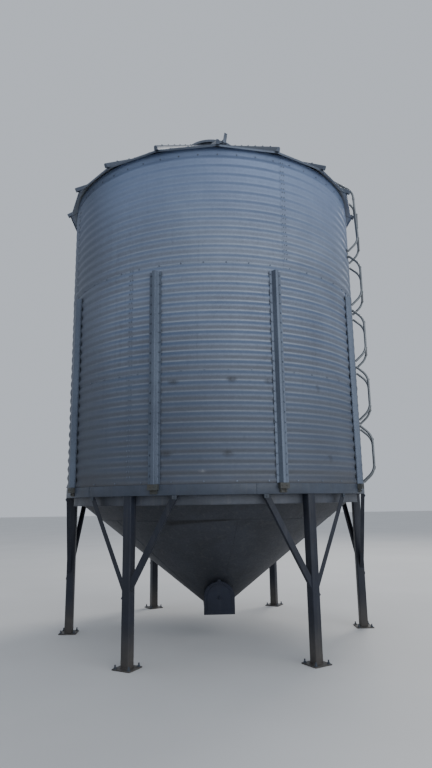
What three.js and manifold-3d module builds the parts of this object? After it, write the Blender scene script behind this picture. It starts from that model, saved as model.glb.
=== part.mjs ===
// A farm grain silo: a round corrugated bin on a steel ring, with a hopper cone under it.
// Six braced legs carry the ring. The roof is a low cone of ribbed panels with a fill neck on top.
// Millimetres, +Z up. The origin is on the silo's axis at ground level.
// Angles are in degrees about the axis, from the front (-Y) towards the right (+X).

import * as THREE from 'three';
import { mergeVertices } from 'three/addons/utils/BufferGeometryUtils.js';
import Module from 'manifold-3d';

const wasm = await Module();
wasm.setup();

// Driving dimensions

const GAP = 0.3;                    // between pieces that touch
const OVERLAP = 1;                  // of solids that are joined, and of cuts past a face
const WALL_RADIUS = 1790;           // over the crests of the corrugation
const CORRUGATION_DEPTH = 12.7;
const CORRUGATION_PITCH = 101.6;
const ARC_STEP = 3;                 // degrees between the facets of a round piece

const RING_BOTTOM = 1550;           // underside of the ring beam above the ground
const RING_HEIGHT = 101;
const RING_WIDTH = 78;
const RING_THICKNESS = 6;

const FIRST_VALLEY = 79;            // lowest valley of the corrugation, above the ring beam's top
const CRESTS_PER_RING = 11;
const SHEET_RINGS = 3;
const SHEETS_PER_RING = 4;
const SHEET_SEAM_ANGLE = [-29, -29, -65];   // one seam of each ring, from the bottom up

const LEG_COUNT = 6;
const LEG_SIZE = 90;                // square tube
const LEG_CENTRE_RADIUS = 1747;
const BASE_PLATE = { size: 200, thickness: 12 };
const BRACE = { face: 55, flange: 44, thickness: 6, faceRadius: 1788 };
const BRACE_FOOT_HEIGHT = 645;      // where the braces' centre lines meet on the leg
const BRACE_HEAD_ANGLE = 16;        // from the leg to a brace's head, about the silo's axis

const SKIRT_DROP = 92;
const SKIRT_THICKNESS = 6;
const SKIRT_LIP = 12;
const CONE_SLOPE = 38.64;
const CONE_TOP_RADIUS = 1688;
const CONE_TOP_DROP = 5;            // below the ring beam's underside
const CONE_BOTTOM_RADIUS = 155;
const CONE_THICKNESS = 5;
const CONE_SHEETS = 6;
const CONE_SEAM_ANGLE = 8;          // one seam of the cone

const BOOT_RADIUS = 160;
const BOOT_FRONT = 596;             // front end of the boot, out from the axis
const BOOT_BACK = 250;
const BOOT_AXIS_DROP = 1093;        // below the ring beam's underside
const BOOT_FLOOR_DROP = 172;        // below the boot's axis
const BOOT_THICKNESS = 5;
const BOOT_TURN = 1;
const BOOT_ARCH_STEPS = 16;
const COVER = { rim: 6, boltRadius: 16, boltLength: 26, boltSides: 6, tabWidth: 36, tabHeight: 29 };

const STIFFENER_COUNT = 9;
const STIFFENER_TURN = -60.5;       // angle of the first one
const STIFFENER_HEIGHT = 2146;
const STIFFENER_RISE = 3;           // of its lower end above the ring beam's top
const STIFFENER = { width: 128, web: 34, foot: 76, depth: 50, thickness: 3 };
const FOOT = { width: 100, depth: 48, height: 56 };    // bracket under a stiffener's lower end
const TONGUE = { width: 74, depth: 18, drop: 92 };      // its narrower lower part

const ROOF_PANELS = 18;
const ROOF_SECTORS = 6;
const ROOF_SLOPE = 34;
const ROOF_TURN = 0.75;
const ROOF_CORNER_RADIUS = 1873;    // at the eave, on a rib
const ROOF_THICKNESS = 6;
const EAVE_ABOVE_RING = 3588;       // from the ring beam's underside
const RIB = { width: 45, height: 44, inner: 375, outer: 1895 };
const RIB_TO_SEAM = 2;              // from a rib's side to the seam between two sectors
const NECK_RADIUS = 340;
const NECK_THICKNESS = 5;
const NECK_TOP = 6270;
const NECK_DROP = 20;               // below the roof's upper edge
const NECK_SEGMENTS = 48;
const LID = { radius: 368, flat: 60, rise: 82, skirt: 38, thickness: 4 };
const LID_HINGE = { angle: 28, width: 60, depth: 24, height: 46 };
const LID_LEVER = { width: 50, thickness: 12, height: 156, lean: 11 };

const LADDER_ANGLE = 73.1;
const LADDER_WIDTH = 380;           // between the rails' centres
const LADDER_STANDOFF = 132;        // of the rails' centres from the wall
const LADDER_SECTION = 700;
const LADDER_SECTIONS = 4;          // bent sections, below the top one
const LADDER_BOTTOM = RING_BOTTOM + 102;
const LADDER_TOP = RING_BOTTOM + 3610;
const LADDER_BEND = 150;            // height over which a rail reaches out from the wall
const LADDER_LEAN = 22;             // of the top section's rails towards the wall at their top
const LADDER_TUBE_RADIUS = 13.5;
const TUBE_BEND = 85;               // length of straight tube that each bend takes on either side
const TUBE_SIDES = 8;
const RAIL_STEPS = 22;
const GRAB_RAIL_STEPS = 30;
const RUNG_RADIUS = 14;
const LADDER_FOOT = { size: 44, thickness: 6, offset: 32 };
const GRAB_RAIL = { bend: 3725, reach: 1120, crown: 4240, crownReach: 1235, footRise: 8 };

// Sizes worked out from the driving ones

const RING_TOP = RING_BOTTOM + RING_HEIGHT;
const FIRST_VALLEY_HEIGHT = RING_TOP + FIRST_VALLEY;
const WALL_INNER_RADIUS = WALL_RADIUS - CORRUGATION_DEPTH;
const PANEL_ANGLE = 360 / ROOF_PANELS;
const EAVE_REACH = ROOF_CORNER_RADIUS * Math.cos(radians(PANEL_ANGLE / 2));
const EAVE_HEIGHT = RING_BOTTOM + EAVE_ABOVE_RING;
const WALL_TOP = roofUnderside(WALL_RADIUS) - GAP;
const SKIRT_RADIUS = LEG_CENTRE_RADIUS - LEG_SIZE / 2 - GAP;
const RAIL_REACH = WALL_RADIUS + LADDER_STANDOFF;
const RUNG_OFFSET = LADDER_BEND + TUBE_BEND / 2;       // of a rung from its section's end
const LEAN_START = LADDER_BOTTOM + LADDER_SECTIONS * LADDER_SECTION + LADDER_BEND;

// Colours

const GALVANIZED = { color: 0x8d97a6, roughness: 0.45, metalness: 0.7 };
const GALVANIZED_DARK = { color: 0x7c8695, roughness: 0.5, metalness: 0.7 };
const PAINTED_STEEL = { color: 0x3d4552, roughness: 0.55, metalness: 0.2 };
const CONE_STEEL = { color: 0x34383f, roughness: 0.6, metalness: 0.2 };

const silo = new THREE.Group();

function radians(degrees) {
  return degrees * Math.PI / 180;
}

// Height of the roof's underside over a point at this distance from the axis, square to a panel.
function roofUnderside(distance) {
  return EAVE_HEIGHT + (EAVE_REACH - distance) * Math.tan(radians(ROOF_SLOPE));
}

function addPiece(name, geometry, look, parent = silo) {
  const mesh = new THREE.Mesh(geometry, new THREE.MeshStandardMaterial(look));
  mesh.name = name;
  parent.add(mesh);
  return mesh;
}

// A group turned about the silo's axis. Inside it, +Y points outward and +X to the left, seen from outside.
function outwardGroup(angle) {
  const group = new THREE.Group();
  group.rotation.z = radians(angle - 180);
  silo.add(group);
  return group;
}

// Solids: closed meshes that can be joined and cut

function toSolid(geometry) {
  const bare = geometry.index ? geometry.toNonIndexed() : geometry.clone();
  bare.deleteAttribute('normal');
  bare.deleteAttribute('uv');
  const merged = mergeVertices(bare, 1e-3);
  return new wasm.Manifold(new wasm.Mesh({
    numProp: 3,
    vertProperties: new Float32Array(merged.attributes.position.array),
    triVerts: new Uint32Array(merged.index.array),
  }));
}

function toGeometry(solid) {
  const mesh = solid.getMesh();
  const geometry = new THREE.BufferGeometry();
  geometry.setAttribute('position', new THREE.BufferAttribute(new Float32Array(mesh.vertProperties), 3));
  geometry.setIndex(new THREE.BufferAttribute(new Uint32Array(mesh.triVerts), 1));
  geometry.computeVertexNormals();
  return geometry;
}

function join(geometries) {
  return geometries.map(toSolid).reduce((sum, solid) => sum.add(solid));
}

function box(width, depth, height, x = 0, y = 0, z = 0) {
  return new THREE.BoxGeometry(width, depth, height).translate(x, y, z);
}

// A plate or bar whose outline is drawn in X and Y and which rises along Z.
function extrude(outline, height) {
  const shape = new THREE.Shape(outline.map(([x, y]) => new THREE.Vector2(x, y)));
  return new THREE.ExtrudeGeometry(shape, { depth: height, bevelEnabled: false });
}

// A round solid from a closed profile of [radius, height] points, over part of a turn or all of it.
function revolve(profile, startAngle = 0, sweep = 360, segments = Math.ceil(sweep / ARC_STEP)) {
  const whole = sweep === 360;
  const rowCount = whole ? segments : segments + 1;
  const positions = [];
  const index = [];
  const rows = [];
  for (let step = 0; step < rowCount; step += 1) {
    const angle = radians(startAngle + sweep * step / segments);
    rows.push(profile.map(([radius, height], i) => {
      if (radius === 0 && step > 0) {
        return rows[0][i];
      }
      positions.push(radius * Math.sin(angle), -radius * Math.cos(angle), height);
      return positions.length / 3 - 1;
    }));
  }
  for (let step = 0; step < segments; step += 1) {
    const here = rows[step];
    const next = rows[(step + 1) % rowCount];
    profile.forEach(([radius], i) => {
      const j = (i + 1) % profile.length;
      if (radius > 0) {
        index.push(here[i], next[i], next[j]);
      }
      if (profile[j][0] > 0) {
        index.push(here[i], next[j], here[j]);
      }
    });
  }
  if (!whole) {
    const flat = profile.map(([radius, height]) => new THREE.Vector2(radius, height));
    const last = rows[segments];
    for (const [i, j, k] of THREE.ShapeUtils.triangulateShape(flat, [])) {
      index.push(rows[0][i], rows[0][j], rows[0][k], last[k], last[j], last[i]);
    }
  }
  const geometry = new THREE.BufferGeometry();
  geometry.setAttribute('position', new THREE.Float32BufferAttribute(positions, 3));
  geometry.setIndex(index);
  return geometry;
}

// A tall wedge between the lines at two angles, each of its sides set back from its line.
function wedge(from, to, setBack, bottom, top) {
  const far = 2 * ROOF_CORNER_RADIUS;
  const outward = (angle) => new THREE.Vector2(Math.sin(radians(angle)), -Math.cos(radians(angle)));
  const onward = (angle) => new THREE.Vector2(Math.cos(radians(angle)), Math.sin(radians(angle)));
  const start = outward(from).multiplyScalar(far).addScaledVector(onward(from), -setBack);
  const end = outward(to).multiplyScalar(far).addScaledVector(onward(to), -setBack - GAP);
  const middle = (from + to) / 2;
  const inset = setBack / Math.cos(radians((to - from) / 2));
  const tip = onward(middle).multiplyScalar(-inset).addScaledVector(outward(middle), GAP);
  const bar = extrude([[tip.x, tip.y], [start.x, start.y], [end.x, end.y]], top - bottom);
  return toSolid(bar.translate(0, 0, bottom));
}

// Wall: rings of curved sheets, each ring of sheets standing on the one below

function sheetRingHeights() {
  const joints = [RING_TOP + GAP];
  for (let ring = 1; ring < SHEET_RINGS; ring += 1) {
    joints.push(FIRST_VALLEY_HEIGHT + (ring * CRESTS_PER_RING - 0.5) * CORRUGATION_PITCH);
  }
  joints.push(WALL_TOP);
  return joints;
}

function addWall() {
  const joints = sheetRingHeights();
  const sweep = 360 / SHEETS_PER_RING;
  const gapAngle = GAP / WALL_RADIUS * 180 / Math.PI;
  for (let ring = 0; ring < SHEET_RINGS; ring += 1) {
    const bottom = joints[ring];
    const top = joints[ring + 1] - (ring < SHEET_RINGS - 1 ? GAP : 0);
    const profile = [
      [WALL_INNER_RADIUS, bottom],
      [WALL_RADIUS, bottom],
      [WALL_RADIUS, top],
      [WALL_INNER_RADIUS, top],
    ];
    for (let sheet = 0; sheet < SHEETS_PER_RING; sheet += 1) {
      const start = SHEET_SEAM_ANGLE[ring] + sheet * sweep;
      const geometry = revolve(profile, start, sweep - gapAngle);
      addPiece(`wall_sheet_${ring + 1}_${sheet + 1}`, geometry, GALVANIZED);
    }
  }
}

// Stiffeners: upright hat sections bolted to the wall, each with a bracket on the ring beam

function stiffenerGeometry() {
  const { width, web, foot, depth, thickness } = STIFFENER;
  const hat = extrude([
    [-width / 2, 0], [-foot / 2 + thickness, 0], [-web / 2 + thickness, depth - thickness],
    [web / 2 - thickness, depth - thickness], [foot / 2 - thickness, 0], [width / 2, 0],
    [width / 2, thickness], [foot / 2, thickness], [web / 2, depth],
    [-web / 2, depth], [-foot / 2, thickness], [-width / 2, thickness],
  ], STIFFENER_HEIGHT);
  const bracket = box(FOOT.width, FOOT.depth, FOOT.height, 0, FOOT.depth / 2, OVERLAP - FOOT.height / 2);
  const tongue = box(TONGUE.width, TONGUE.depth, TONGUE.drop, 0, TONGUE.depth / 2, -TONGUE.drop / 2);
  return toGeometry(join([hat, bracket, tongue]));
}

function addStiffeners() {
  const geometry = stiffenerGeometry();
  for (let i = 0; i < STIFFENER_COUNT; i += 1) {
    const angle = STIFFENER_TURN + i * 360 / STIFFENER_COUNT;
    const mesh = addPiece(`stiffener_${i + 1}`, geometry, GALVANIZED_DARK, outwardGroup(angle));
    mesh.position.set(0, WALL_RADIUS + GAP, RING_TOP + STIFFENER_RISE);
  }
}

// Ring beam: a rolled channel under the wall. Skirt: a thin band hanging inside the legs.

function addRingBeam() {
  const inner = WALL_RADIUS - RING_WIDTH;
  const web = WALL_RADIUS - RING_THICKNESS;
  addPiece('ring_beam', revolve([
    [inner, RING_BOTTOM], [WALL_RADIUS, RING_BOTTOM], [WALL_RADIUS, RING_TOP], [inner, RING_TOP],
    [inner, RING_TOP - RING_THICKNESS], [web, RING_TOP - RING_THICKNESS],
    [web, RING_BOTTOM + RING_THICKNESS], [inner, RING_BOTTOM + RING_THICKNESS],
  ]), PAINTED_STEEL);
}

function addSkirt() {
  const top = RING_BOTTOM - GAP;
  const bottom = RING_BOTTOM - SKIRT_DROP;
  const inner = SKIRT_RADIUS - SKIRT_THICKNESS;
  addPiece('hopper_skirt', revolve([
    [inner - SKIRT_LIP, bottom], [SKIRT_RADIUS, bottom], [SKIRT_RADIUS, top], [inner, top],
    [inner, bottom + SKIRT_THICKNESS], [inner - SKIRT_LIP, bottom + SKIRT_THICKNESS],
  ]), PAINTED_STEEL);
}

// Hopper cone and the boot at its tip, where an unloading auger goes in

function coneHeight(radius) {
  return RING_BOTTOM - CONE_TOP_DROP - (CONE_TOP_RADIUS - radius) * Math.tan(radians(CONE_SLOPE));
}

function coneShell() {
  const slope = radians(CONE_SLOPE);
  const rise = CONE_THICKNESS / Math.cos(slope);
  const edge = SKIRT_RADIUS - SKIRT_THICKNESS - GAP;
  const top = RING_BOTTOM - GAP;
  const innerTop = CONE_TOP_RADIUS - (coneHeight(CONE_TOP_RADIUS) + rise - top) / Math.tan(slope);
  return toSolid(revolve([
    [CONE_BOTTOM_RADIUS, coneHeight(CONE_BOTTOM_RADIUS)],
    [CONE_TOP_RADIUS, coneHeight(CONE_TOP_RADIUS)],
    [edge, coneHeight(CONE_TOP_RADIUS)],
    [edge, top],
    [innerTop, top],
    [CONE_BOTTOM_RADIUS, coneHeight(CONE_BOTTOM_RADIUS) + rise],
  ]));
}

// Everything inside the cone's outer face, as far up as it lies over the boot.
function coneInside() {
  return toSolid(revolve([
    [0, coneHeight(CONE_BOTTOM_RADIUS)],
    [CONE_BOTTOM_RADIUS, coneHeight(CONE_BOTTOM_RADIUS)],
    [BOOT_FRONT, coneHeight(BOOT_FRONT)],
    [0, coneHeight(BOOT_FRONT)],
  ]));
}

// The boot's arched outline: a half round over straight sides, drawn about its axis.
function bootOutline(radius, floor) {
  const points = [[-radius, -floor], [radius, -floor]];
  for (let i = 0; i <= BOOT_ARCH_STEPS; i += 1) {
    const angle = Math.PI * i / BOOT_ARCH_STEPS;
    points.push([radius * Math.cos(angle), radius * Math.sin(angle)]);
  }
  return points;
}

// Turns a piece of the boot, drawn facing the front, to the way the boot really faces.
function turned(geometry) {
  return geometry.rotateZ(radians(BOOT_TURN));
}

// A bar of the boot's section, from one distance in front of the axis to another.
function bootBar(radius, floor, from, to) {
  const bar = extrude(bootOutline(radius, floor), to - from).rotateX(Math.PI / 2);
  return toSolid(turned(bar.translate(0, -from, RING_BOTTOM - BOOT_AXIS_DROP)));
}

function addCone() {
  const aroundBoot = bootBar(BOOT_RADIUS + GAP, BOOT_FLOOR_DROP + GAP, -BOOT_BACK - GAP, BOOT_FRONT);
  const cone = coneShell().subtract(aroundBoot);
  const sweep = 360 / CONE_SHEETS;
  for (let sheet = 0; sheet < CONE_SHEETS; sheet += 1) {
    const from = CONE_SEAM_ANGLE + sheet * sweep;
    const part = cone.intersect(wedge(from, from + sweep, 0, 0, RING_TOP));
    addPiece(`hopper_cone_${sheet + 1}`, toGeometry(part), CONE_STEEL);
  }
}

function addBoot() {
  const shell = bootBar(BOOT_RADIUS, BOOT_FLOOR_DROP, -BOOT_BACK, BOOT_FRONT);
  const hollow = bootBar(
    BOOT_RADIUS - BOOT_THICKNESS,
    BOOT_FLOOR_DROP - BOOT_THICKNESS,
    -BOOT_BACK + BOOT_THICKNESS,
    BOOT_FRONT + OVERLAP,
  );
  addPiece('unloading_boot', toGeometry(shell.subtract(hollow).subtract(coneInside())), CONE_STEEL);

  const { rim, boltRadius, boltLength, boltSides, tabWidth, tabHeight } = COVER;
  const plate = extrude(bootOutline(BOOT_RADIUS + rim, BOOT_FLOOR_DROP), BOOT_THICKNESS);
  const bolt = new THREE.CylinderGeometry(boltRadius, boltRadius, boltLength, boltSides);
  bolt.rotateX(Math.PI / 2).translate(0, 0, boltLength / 2);
  const tab = box(tabWidth, tabHeight, BOOT_THICKNESS, 0, BOOT_RADIUS + tabHeight / 2, BOOT_THICKNESS / 2);
  const cover = toGeometry(join([plate, bolt, tab])).rotateX(Math.PI / 2);
  cover.translate(0, -BOOT_FRONT - GAP, RING_BOTTOM - BOOT_AXIS_DROP);
  addPiece('boot_cover', turned(cover), PAINTED_STEEL);
}

// Legs: each is welded up from a post, a base plate and two braces that rise to the ring beam

// An angle bar with one flange facing outward and the other pointing inward from its lower edge.
function braceSolid(side) {
  const { face, flange, thickness, faceRadius } = BRACE;
  const head = radians(BRACE_HEAD_ANGLE * side);
  const from = new THREE.Vector3(0, faceRadius, BRACE_FOOT_HEIGHT);
  const to = new THREE.Vector3(faceRadius * Math.sin(head), faceRadius * Math.cos(head), RING_BOTTOM);
  const along = to.clone().sub(from);
  const length = along.length() + 2 * face;
  const low = side * face / 2;
  const inner = low - side * thickness;
  const bar = extrude([
    [-low, 0], [-low, -thickness], [inner, -thickness], [inner, -flange], [low, -flange], [low, 0],
  ], length).translate(0, 0, -length / 2);
  const outward = new THREE.Vector3(Math.sin(head / 2), Math.cos(head / 2), 0);
  const axis = along.normalize();
  const frame = new THREE.Matrix4().makeBasis(outward.clone().cross(axis), outward, axis);
  frame.setPosition(from.add(to).multiplyScalar(0.5));
  const trim = box(2 * faceRadius, faceRadius, 4 * face, 0, faceRadius, RING_BOTTOM - GAP + 2 * face);
  return toSolid(bar.applyMatrix4(frame)).subtract(toSolid(trim));
}

function legGeometry() {
  const top = RING_BOTTOM - GAP;
  const post = box(LEG_SIZE, LEG_SIZE, top, 0, LEG_CENTRE_RADIUS, top / 2);
  const { size, thickness } = BASE_PLATE;
  const plate = box(size, size, thickness, 0, LEG_CENTRE_RADIUS, thickness / 2);
  return toGeometry(join([post, plate]).add(braceSolid(1)).add(braceSolid(-1)));
}

function addLegs() {
  const geometry = legGeometry();
  for (let i = 0; i < LEG_COUNT; i += 1) {
    const angle = (i + 0.5) * 360 / LEG_COUNT;
    addPiece(`leg_${i + 1}`, geometry, PAINTED_STEEL, outwardGroup(angle));
  }
}

// Roof: flat panels with a raised rib on each seam, in sectors of three panels

function roofShell() {
  const corner = Math.cos(radians(PANEL_ANGLE / 2));
  const neck = (NECK_RADIUS + GAP) / corner;
  const low = EAVE_HEIGHT;
  const high = roofUnderside(neck * corner);
  return toSolid(revolve([
    [neck, high],
    [ROOF_CORNER_RADIUS, low],
    [ROOF_CORNER_RADIUS, low + ROOF_THICKNESS],
    [neck, high + ROOF_THICKNESS],
  ], ROOF_TURN, 360, ROOF_PANELS));
}

function ribSolid(angle) {
  const corner = Math.cos(radians(PANEL_ANGLE / 2));
  const slope = Math.atan(Math.tan(radians(ROOF_SLOPE)) * corner);
  const length = (RIB.outer - RIB.inner) / Math.cos(slope);
  const middle = (RIB.outer + RIB.inner) / 2;
  const height = roofUnderside(middle * corner) + ROOF_THICKNESS / 2 + RIB.height / 2;
  const rib = box(RIB.width, length, RIB.height).rotateX(-slope).translate(0, middle, height);
  return toSolid(rib.rotateZ(radians(angle - 180)));
}

function addRoof() {
  let roof = roofShell();
  for (let panel = 0; panel < ROOF_PANELS; panel += 1) {
    roof = roof.add(ribSolid(ROOF_TURN + panel * PANEL_ANGLE));
  }
  const sweep = 360 / ROOF_SECTORS;
  const setBack = RIB.width / 2 + RIB_TO_SEAM;
  for (let sector = 0; sector < ROOF_SECTORS; sector += 1) {
    const from = ROOF_TURN + PANEL_ANGLE + sector * sweep;
    const part = roof.intersect(wedge(from, from + sweep, setBack, RING_TOP, NECK_TOP));
    addPiece(`roof_sector_${sector + 1}`, toGeometry(part), GALVANIZED);
  }
}

// Fill neck, and its lid with a hinge on the rim and an upright lever

function addFillNeck() {
  const bottom = roofUnderside(NECK_RADIUS) - NECK_DROP;
  const inner = NECK_RADIUS - NECK_THICKNESS;
  addPiece('fill_neck', revolve([
    [inner, bottom], [NECK_RADIUS, bottom], [NECK_RADIUS, NECK_TOP], [inner, NECK_TOP],
  ], 0, 360, NECK_SEGMENTS), GALVANIZED_DARK);
}

function addLid() {
  const { radius, rise, skirt, thickness, flat } = LID;
  const pitch = (rise - thickness) / (radius - thickness - flat);
  const base = NECK_TOP + GAP - (radius - thickness - NECK_RADIUS) * pitch;
  const lid = revolve([
    [0, base + rise - thickness],
    [flat, base + rise - thickness],
    [radius - thickness, base],
    [radius - thickness, base - skirt],
    [radius, base - skirt],
    [radius, base + thickness],
    [flat, base + rise],
    [0, base + rise],
  ], 0, 360, NECK_SEGMENTS);
  const reach = radius - thickness / 2 + LID_HINGE.depth / 2;
  const hinge = box(LID_HINGE.width, LID_HINGE.depth, LID_HINGE.height, 0, 0, LID_HINGE.height / 2);
  const lever = box(LID_LEVER.width, LID_LEVER.thickness, LID_LEVER.height, 0, 0, LID_LEVER.height / 2);
  lever.rotateY(radians(-LID_LEVER.lean)).translate(0, 0, LID_HINGE.height / 4);
  for (const piece of [hinge, lever]) {
    piece.translate(0, reach, base - skirt).rotateZ(radians(LID_HINGE.angle - 180));
  }
  addPiece('fill_lid', toGeometry(join([lid, hinge, lever])), GALVANIZED);
}

// Ladder: bent tube sections, each bolted to the wall at both ends, with a rung at each bend

function tube(points, steps) {
  const path = new THREE.CurvePath();
  let from = points[0];
  for (let i = 1; i < points.length - 1; i += 1) {
    const corner = points[i];
    const back = points[i - 1].clone().sub(corner).normalize();
    const onward = points[i + 1].clone().sub(corner).normalize();
    const before = corner.clone().addScaledVector(back, TUBE_BEND);
    const after = corner.clone().addScaledVector(onward, TUBE_BEND);
    path.add(new THREE.LineCurve3(from, before));
    path.add(new THREE.QuadraticBezierCurve3(before, corner, after));
    from = after;
  }
  path.add(new THREE.LineCurve3(from, points[points.length - 1]));
  const corners = [];
  for (let i = 0; i < TUBE_SIDES; i += 1) {
    const angle = 2 * Math.PI * i / TUBE_SIDES;
    corners.push(new THREE.Vector2(Math.cos(angle), Math.sin(angle)).multiplyScalar(LADDER_TUBE_RADIUS));
  }
  const section = new THREE.Shape(corners);
  return new THREE.ExtrudeGeometry(section, { steps, extrudePath: path, bevelEnabled: false });
}

function rung(height) {
  const bar = new THREE.CylinderGeometry(RUNG_RADIUS, RUNG_RADIUS, LADDER_WIDTH, TUBE_SIDES);
  return bar.rotateZ(Math.PI / 2).translate(0, RAIL_REACH, height);
}

// A foot plate on the wall at a rail's end, turned to lie flat on it.
function ladderFoot(side, height) {
  const { size, thickness } = LADDER_FOOT;
  const turn = Math.asin(side * LADDER_WIDTH / 2 / WALL_RADIUS);
  const plate = box(size, thickness, size, 0, WALL_RADIUS + GAP + thickness / 2, height);
  return plate.rotateZ(-turn);
}

function railPoint(side, reach, height) {
  return new THREE.Vector3(side * LADDER_WIDTH / 2, reach, height);
}

// Where a rail's centre line ends, so that its slanted end sinks into the foot plate and not the wall.
function footReach() {
  const wall = Math.sqrt(WALL_RADIUS ** 2 - (LADDER_WIDTH / 2) ** 2);
  return wall + LADDER_FOOT.thickness + LADDER_TUBE_RADIUS / 2;
}

function ladderSection(bottom) {
  const top = bottom + LADDER_SECTION;
  const low = bottom + LADDER_FOOT.offset;
  const high = top - LADDER_FOOT.offset;
  const pieces = [rung(bottom + RUNG_OFFSET), rung(top - RUNG_OFFSET)];
  for (const side of [-1, 1]) {
    pieces.push(tube([
      railPoint(side, footReach(), low),
      railPoint(side, RAIL_REACH, bottom + LADDER_BEND),
      railPoint(side, RAIL_REACH, top - LADDER_BEND),
      railPoint(side, footReach(), high),
    ], RAIL_STEPS));
    pieces.push(ladderFoot(side, low), ladderFoot(side, high));
  }
  return toGeometry(join(pieces));
}

// How far out the leaning rails of the top section and the grab rails are at this height.
function leaningReach(height) {
  return RAIL_REACH - LADDER_LEAN * (height - LEAN_START) / (LADDER_TOP - LEAN_START);
}

function ladderTopSection(bottom) {
  const low = bottom + LADDER_FOOT.offset;
  const pieces = [rung(bottom + RUNG_OFFSET), rung(bottom + LADDER_SECTION - RUNG_OFFSET)];
  for (const side of [-1, 1]) {
    pieces.push(tube([
      railPoint(side, footReach(), low),
      railPoint(side, RAIL_REACH, LEAN_START),
      railPoint(side, leaningReach(LADDER_TOP), LADDER_TOP),
    ], RAIL_STEPS));
    pieces.push(ladderFoot(side, low));
  }
  return toGeometry(join(pieces));
}

// Grab rails: they carry the ladder's rails on over the eave and down onto the roof.
function grabRail(side) {
  const start = LADDER_TOP + GAP;
  const bend = RING_BOTTOM + GRAB_RAIL.bend;
  const foot = roofUnderside(GRAB_RAIL.reach) + ROOF_THICKNESS + GRAB_RAIL.footRise;
  return tube([
    railPoint(side, leaningReach(start), start),
    railPoint(side, leaningReach(bend), bend),
    railPoint(side, GRAB_RAIL.crownReach, RING_BOTTOM + GRAB_RAIL.crown),
    railPoint(side, GRAB_RAIL.reach, foot),
  ], GRAB_RAIL_STEPS);
}

function addLadder() {
  const group = outwardGroup(LADDER_ANGLE);
  for (let i = 0; i < LADDER_SECTIONS; i += 1) {
    const bottom = LADDER_BOTTOM + i * LADDER_SECTION;
    addPiece(`ladder_section_${i + 1}`, ladderSection(bottom), GALVANIZED_DARK, group);
  }
  const top = LADDER_BOTTOM + LADDER_SECTIONS * LADDER_SECTION;
  addPiece('ladder_top_section', ladderTopSection(top), GALVANIZED_DARK, group);
  addPiece('grab_rail_front', grabRail(1), GALVANIZED_DARK, group);
  addPiece('grab_rail_back', grabRail(-1), GALVANIZED_DARK, group);
}

addWall();
addStiffeners();
addRingBeam();
addSkirt();
addCone();
addBoot();
addLegs();
addRoof();
addFillNeck();
addLid();
addLadder();

export default silo;
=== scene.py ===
"""Looks of the grain silo: every CAD node is replaced by a finer piece with a procedural finish.

Metres, +Z up, the CAD's frame. Angles are in degrees about the axis, from the front (-Y) towards
the right (+X).
"""

import math
import random
from itertools import product

import bpy
import numpy as np
from mathutils import Matrix, Vector


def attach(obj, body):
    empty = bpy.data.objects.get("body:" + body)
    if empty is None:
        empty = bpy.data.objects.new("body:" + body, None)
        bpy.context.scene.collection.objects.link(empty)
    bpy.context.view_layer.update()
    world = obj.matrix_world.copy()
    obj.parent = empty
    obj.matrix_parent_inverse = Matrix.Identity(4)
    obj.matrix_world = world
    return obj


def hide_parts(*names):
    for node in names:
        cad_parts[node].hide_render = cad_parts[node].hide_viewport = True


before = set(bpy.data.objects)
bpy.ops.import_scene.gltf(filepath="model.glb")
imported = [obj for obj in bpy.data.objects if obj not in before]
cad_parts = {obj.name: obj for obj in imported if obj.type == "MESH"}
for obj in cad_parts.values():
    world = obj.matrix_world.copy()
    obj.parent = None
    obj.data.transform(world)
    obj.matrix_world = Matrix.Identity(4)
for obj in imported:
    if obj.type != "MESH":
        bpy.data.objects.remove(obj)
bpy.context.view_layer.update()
rng = random.Random(11)

# Sizes. Those of the solids are the same as in the CAD source

GAP = 0.0003  # between pieces
R = 1.790  # radius of the wall, over the crests
DEPTH = 0.0127  # of the corrugation
PITCH = 0.1016
ROWS_PER_WAVE = 12  # of vertices
SHEET = 0.0016  # thickness of the wall's sheets
RING_BOTTOM = 1.550
RING_TOP = 1.651
RING_WIDTH = 0.078
STEEL = 0.006  # thickness of the ring beam, the skirt and the braces
FIRST_VALLEY = RING_TOP + 0.079
CREST = FIRST_VALLEY + PITCH / 2
WAVES_PER_RING = 11
SHEET_RINGS = 3
SHEETS_PER_RING = 4
SEAM_ANGLE = [-29, -29, -65]
SEAM_LAP = 2.0

STIFFENER_COUNT = 9
STIFFENER_TURN = -60.5
STIFFENER_HEIGHT = 2.146
STIFFENER_RISE = 0.003  # of its lower end above the ring beam's top

LEG_COUNT = 6
LEG_SIZE = 0.090
LEG_RADIUS = 1.747
PLATE = 0.200  # side of a leg's base plate
PLATE_THICKNESS = 0.012
BRACE_RADIUS = 1.788
BRACE_HEAD = 16  # angle from a leg to its brace's head
BRACE_FOOT = 0.645  # height where the braces meet on the leg

SKIRT_RADIUS = LEG_RADIUS - LEG_SIZE / 2 - GAP
SKIRT_DROP = 0.092
SKIRT_LIP = 0.012
CONE_SLOPE = math.radians(38.64)
CONE_TOP = 1.688  # radius at its upper edge
CONE_DROP = 0.005  # of that edge below the ring beam
CONE_TIP = 0.155  # radius at its tip
CONE_SEAM = 8  # angle of one seam of the cone
CONE_LAP = 1.386  # radius where its upper sheets lap over the lower ones
CONE_SHEET = 0.005
BOOT_Z = RING_BOTTOM - 1.093
BOOT_R = 0.160
BOOT_FLOOR = 0.172
BOOT_FRONT = 0.596
BOOT_BACK = 0.250
BOOT_SHEET = 0.005

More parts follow.
